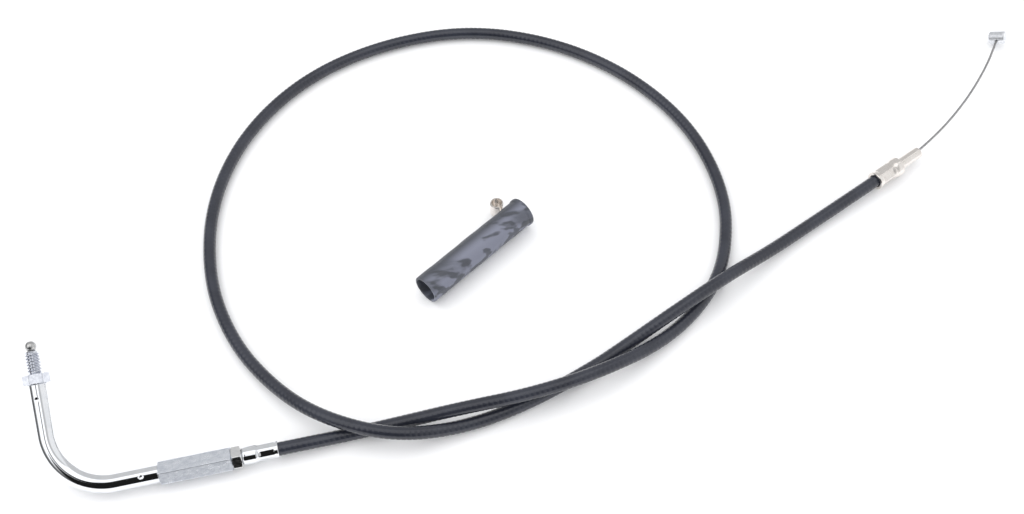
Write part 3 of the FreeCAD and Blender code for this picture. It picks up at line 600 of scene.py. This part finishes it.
FITTING = ELBOW @ Matrix.Translation((ARM_X, FOOT, 0)) @ rotation(90, "Z")
HEX, THREAD_END, THREAD_PITCH = 4.2, 13.8, 1.27
FITTING_CREST, FITTING_DEPTH = 3.175, 0.76
FITTING_ROOT = FITTING_CREST - FITTING_DEPTH
HEXAGON_FLATS, HEXAGON_TURN = 9.525, 40


def fitting():
    """Shank, hexagon and thread in one turned skin."""
    cone, rim, half = 4.57, 6.2, 0.5
    steps = np.linspace(0, 1, 7)
    profile = [(-10.0, 1.1), (-10.0, 2.95), (-7.7, 2.95), (-7.7, 2.45), (-5.3, 2.45), (-5.3, 2.95),
        (0.0, 2.95)]
    profile += [(half * t, cone + (rim - cone) * t) for t in steps]
    profile += [(HEX / 2, rim)]
    profile += [(HEX - half * (1 - t), rim + (cone - rim) * t) for t in steps]
    profile += [(HEX, 3.0), (HEX + 0.25, 2.62)]
    start, end = HEX + 0.4, THREAD_END - 0.15
    profile += [(float(x), FITTING_ROOT) for x in np.arange(start, end, THREAD_PITCH / 14)]
    profile += [(THREAD_END, 2.3), (THREAD_END, 1.7), (THREAD_END - 0.6, 1.1)]
    thread = thread_form(FITTING_CREST, FITTING_DEPTH, THREAD_PITCH, start, end)
    hexagon = hex_form(HEXAGON_FLATS, 0.22)

    def form(x, r, angle):
        if r > 4.0:
            return hexagon(x, r, angle)
        return thread(x, r, angle) if start < x < end and r > 2.4 else np.full(len(angle), r)

    return turned(
        "housing_fitting", FITTING @ rotation(HEXAGON_TURN, "X"), profile, machined, sided_columns(), form,
        sharp=28)


stud = own(fitting(), "stud", "machined_steel", "housing_stud")

BALL = THREAD_END + 2.0


def ball_profile():
    radius, flat, bore = 2.38, 2.25, 0.62
    start, end = -math.sqrt(radius ** 2 - bore ** 2), flat
    outline = []
    for angle in np.linspace(math.acos(-start / radius), math.acos(-end / radius), 40):
        outline.append((-radius * math.cos(angle), radius * math.sin(angle)))
    return outline + [(flat, 0.25)]


ball = own(
    turned("ball_tip", FITTING @ Matrix.Translation((BALL, 0, 0)), ball_profile(), ball_steel,
    round_columns(64),
           closed=False, sharp=40),
    "ball", "machined_steel", "ball_end")
stub_line = np.stack([np.linspace(0.8 - 36.0, 0.6, 160), np.zeros(160), np.zeros(160)], -1)
stub_line = placed(stub_line, FITTING @ Matrix.Translation((BALL, 0, 0)))
ball_wire = own(
    skin("ball_core_wire", along(stub_line, stranded(WIRE_RADIUS, WIRE_LAY), 24), strands, sharp=70), "ball",
    "wire_steel",
    "ball_wire")

# ---------------------------------------------------------------- the end ferrule and the barrel

FERRULE = Matrix.Translation((332.34, 77.1, 4.7)) @ rotation(24, "Z")
NOSE = 29.7
ferrule_outline = [
    (0.0, 3.25), (0.0, 4.3), (0.15, 4.44), (0.4, 4.5), (0.65, 4.45), (0.9, 4.37), (1.3, 4.32), (1.8, 4.3),
    (10.6, 4.3), (11.2, 4.34), (11.8, 4.48), (12.4, 4.63), (12.9, 4.7), (15.1, 4.7), (15.5, 4.62),
    (15.8, 4.42),
    (15.95, 4.15), (16.0, 3.8), (16.0, 2.9), (16.15, 2.75), (NOSE - 0.5, 2.75), (NOSE - 0.2, 2.67),
    (NOSE - 0.05, 2.52), (NOSE, 2.35), (NOSE, 1.5), (NOSE - 0.15, 1.32), (NOSE - 0.4, 1.25), (14.8, 1.25),
    (14.8, 3.0), (0.5, 3.0),
]
end_ferrule = own(
    turned(
        "end_crimp", FERRULE @ rotation(12, "X"), finer(ferrule_outline, 0.4), nickel, round_columns(120),
        crimp(7.7, 0.8, 1.5, 10.6, 1.6, 3.6), sharp=40),
    "casing", "nickel", "end_ferrule")

BARREL_PLACE = Vector((429.3322, 151.2481, 4.7))
BARREL = Matrix.Translation(BARREL_PLACE) @ rotation(-36.5, "Z") @ rotation(-25, "Y")
ROUNDING = 0.7


def wire_notch(x, r, angle):
    """A barrel's radius, with a hollow where the wire goes in."""
    around = np.abs(np.mod(angle, 2 * math.pi) - math.pi) * r
    reach = np.hypot(x, around) / 1.5
    return r - 0.6 * np.clip(1 - reach ** 2, 0, 1) ** 1.5


half_barrel = [(-3.95, 0.3), (-3.95, 2.5)] + [
    (-3.95 + ROUNDING * (1 - math.cos(a)), 2.5 + ROUNDING * math.sin(a)) for a in np.linspace(0, math.pi / 2,
    7)[1:]]
barrel_outline = half_barrel + [(float(x), 3.2) for x in np.linspace(-3.1, 3.1, 30)] + [
    (-x, r) for x, r in reversed(half_barrel)]
barrel = own(
    turned("barrel_tip", BARREL, barrel_outline, cast, round_columns(96), wire_notch, closed=False, sharp=45),
    "barrel", "cast_zinc", "barrel_end")

# ---------------------------------------------------------------- the boot

LEAN = math.degrees(math.asin(0.45 / 60.5))
BOOT = Matrix.Translation(BOOT_PLACE) @ rotation(BOOT_HEADING, "Z") @ rotation(-LEAN, "Y")
boot_outline = [
    (0.0, 5.75), (0.0, 6.45), (0.1, 6.68), (0.35, 6.82), (0.8, 6.85), (59.2, 6.85), (59.7, 6.88),
    (60.05, 7.0),
    (60.25, 7.2), (60.6, 7.3), (61.7, 7.3), (62.15, 7.2), (62.4, 6.95), (62.5, 6.6), (62.5, 3.0), (62.3, 2.8),
    (57.5, 2.8), (56.0, 5.6), (0.3, 5.6),
]


def soft_wall(x, r, angle):
    """Rubber that isn't quite round or straight."""
    if r < 5.9:
        return np.full(len(angle), r)
    dip = 0.05 * np.sin(0.21 * x + 2 * angle) + 0.04 * np.sin(0.47 * x - 3 * angle + 1.0)
    return r - 0.09 + dip


boot = own(
    turned("rubber_boot", BOOT, finer(boot_outline, 0.9), boot_rubber, round_columns(96), soft_wall,
    sharp=40),
    "boot", "boot_rubber", "adjuster_boot")


# ---------------------------------------------------------------- CAD nodes that stay

for name, material in (
        ("swivel_sleeve", machined), ("elbow_liner", natural_nylon), ("elbow_wire", strands),
        ("spare_ferrule", nickel)):
    mesh = nodes[name].data
    mesh.materials.clear()
    mesh.materials.append(material)

soften = nodes["spare_ferrule"].modifiers.new("edges", "BEVEL")
soften.width = 0.14 * MM
soften.segments = 3
soften.limit_method = "ANGLE"
soften.angle_limit = math.radians(40)

# ---------------------------------------------------------------- floor, sky and light

floor_mesh = bpy.data.meshes.new("floor")
floor_mesh.from_pydata([(-4, -4, 0), (4, -4, 0), (4, 4, 0), (-4, 4, 0)], [], [(0, 1, 2, 3)])
floor = bpy.data.objects.new("floor", floor_mesh)
floor.location = (0.15, 0.08, -0.0002)
scene.collection.objects.link(floor)
pale = Graph("pale_floor")
floor_mesh.materials.append(pale.set(Base_Color=(0.90, 0.90, 0.905), Roughness=0.65, Specular_IOR_Level=0.2))


def area_light(name, place, aim, size, watts, colour=(1, 1, 1)):
    data = bpy.data.lights.new(name, "AREA")
    data.shape = "RECTANGLE"
    data.size, data.size_y = size
    data.energy = watts
    data.color = colour
    light = bpy.data.objects.new(name, data)
    light.location = place
    light.rotation_euler = (Vector(aim) - Vector(place)).to_track_quat("-Z", "Y").to_euler()
    light.visible_glossy = False  # what shines in the metal is the room
    scene.collection.objects.link(light)
    return light


area_light("key", (-0.45, 0.65, 1.25), (0.15, 0.08, 0.0), (1.1, 0.9), 4.0, (1.0, 0.995, 0.985))

world = bpy.data.worlds.new("Studio")
scene.world = world
world.use_nodes = True
sky = world.node_tree
background = sky.nodes["Background"]


def sky_node(kind, **settings):
    made = sky.nodes.new(kind)
    for key, value in settings.items():
        setattr(made, key, value)
    return made


def sky_math(operation, a, b=0.0):
    made = sky_node("ShaderNodeMath", operation=operation)
    for socket, value in zip(made.inputs, (a, b)):
        if isinstance(value, (int, float)):
            socket.default_value = value
        else:
            sky.links.new(value, socket)
    return made.outputs[0]


def sky_ramp(value, low, high, to_low, to_high):
    made = sky_node("ShaderNodeMapRange", interpolation_type="SMOOTHSTEP")
    for key, number in zip(RAMP_SOCKETS, (low, high, to_low, to_high)):
        made.inputs[key].default_value = number
    sky.links.new(value, made.inputs["Value"])
    return made.outputs["Result"]


CEILING, NORTH_WALL, EAST_WALL, EAST_LOW, WEST_WALL, UNLIT = 1.25, 0.62, 0.56, 0.90, 0.14, 0.012
DOME, BEHIND = 1.32, 1.0  # an even dome gives the soft light, and the camera sees a pale backdrop

towards = sky_node("ShaderNodeSeparateXYZ")
sky.links.new(sky_node("ShaderNodeTexCoord").outputs["Generated"], towards.inputs[0])
east, north, up = towards.outputs


def degrees(value):
    return sky_math("MULTIPLY", value, 180 / math.pi)


def mixed(factor, a, b):
    """a where the factor is 0 and b where it is 1."""
    made = sky_node("ShaderNodeMix", data_type="FLOAT")
    for socket, value in zip((made.inputs[0], made.inputs[2], made.inputs[3]), (factor, a, b)):
        if isinstance(value, (int, float)):
            socket.default_value = value
        else:
            sky.links.new(value, socket)
    return made.outputs[0]


# What the metal mirrors, by direction: a white ceiling panel over a grey north wall, a grey east wall that
# is paler low down, a dim low west, and an unlit room in the south and south-west with a dark column above
# it. lean is the slope towards the south, from straight up. The panel's east edge moves with lean.
lean = degrees(sky_math("ARCTAN2", sky_math("MULTIPLY", north, -1.0), up))
from_south = degrees(sky_math("ARCTAN2", sky_math("ABSOLUTE", east), sky_math("MULTIPLY", north, -1.0)))
room = sky_math("MULTIPLY", sky_ramp(lean, 33.0, 37.0, 0.0, 1.0), sky_ramp(from_south, 39.0, 50.0, 1.0, 0.0))
room = sky_math("MULTIPLY", room, sky_ramp(east, 0.12, 0.28, 1.0, 0.0))
from_column = sky_math("ABSOLUTE", sky_math("ADD", east, 0.17))
column = sky_math("MULTIPLY", sky_ramp(lean, 11.0, 15.0, 0.0, 1.0),
    sky_ramp(from_column, 0.05, 0.09, 1.0, 0.0))
column = sky_math("MULTIPLY", column, sky_ramp(lean, 40.0, 50.0, 1.0, 0.0))
unlit = sky_math("MAXIMUM", room, column)
ceiling = sky_ramp(lean, -23.0, -17.0, NORTH_WALL, CEILING)
over_east = mixed(sky_ramp(east, 0.53, 0.66, 0.0, 1.0), EAST_WALL, EAST_LOW)
low_west = sky_math("MULTIPLY", sky_ramp(up, 0.35, 0.60, 1.0, 0.0), sky_ramp(east, -0.75, -0.45, 1.0, 0.0))
panel_edge = sky_math("ADD", east, sky_math("MULTIPLY", sky_math("ADD", lean, -29.0), 0.007))
level = mixed(sky_ramp(panel_edge, 0.20, 0.32, 0.0, 1.0), mixed(low_west, ceiling, WEST_WALL), over_east)
level = mixed(unlit, level, UNLIT)
ray = sky_node("ShaderNodeLightPath").outputs
strength = mixed(ray["Is Camera Ray"], mixed(ray["Is Diffuse Ray"], level, DOME), BEHIND)
background.inputs["Color"].default_value = (0.985, 0.99, 1.0, 1.0)
sky.links.new(strength, background.inputs["Strength"])

# ---------------------------------------------------------------- close

print("route", round(route_length, 4), "wire", round(wire_length, 4))
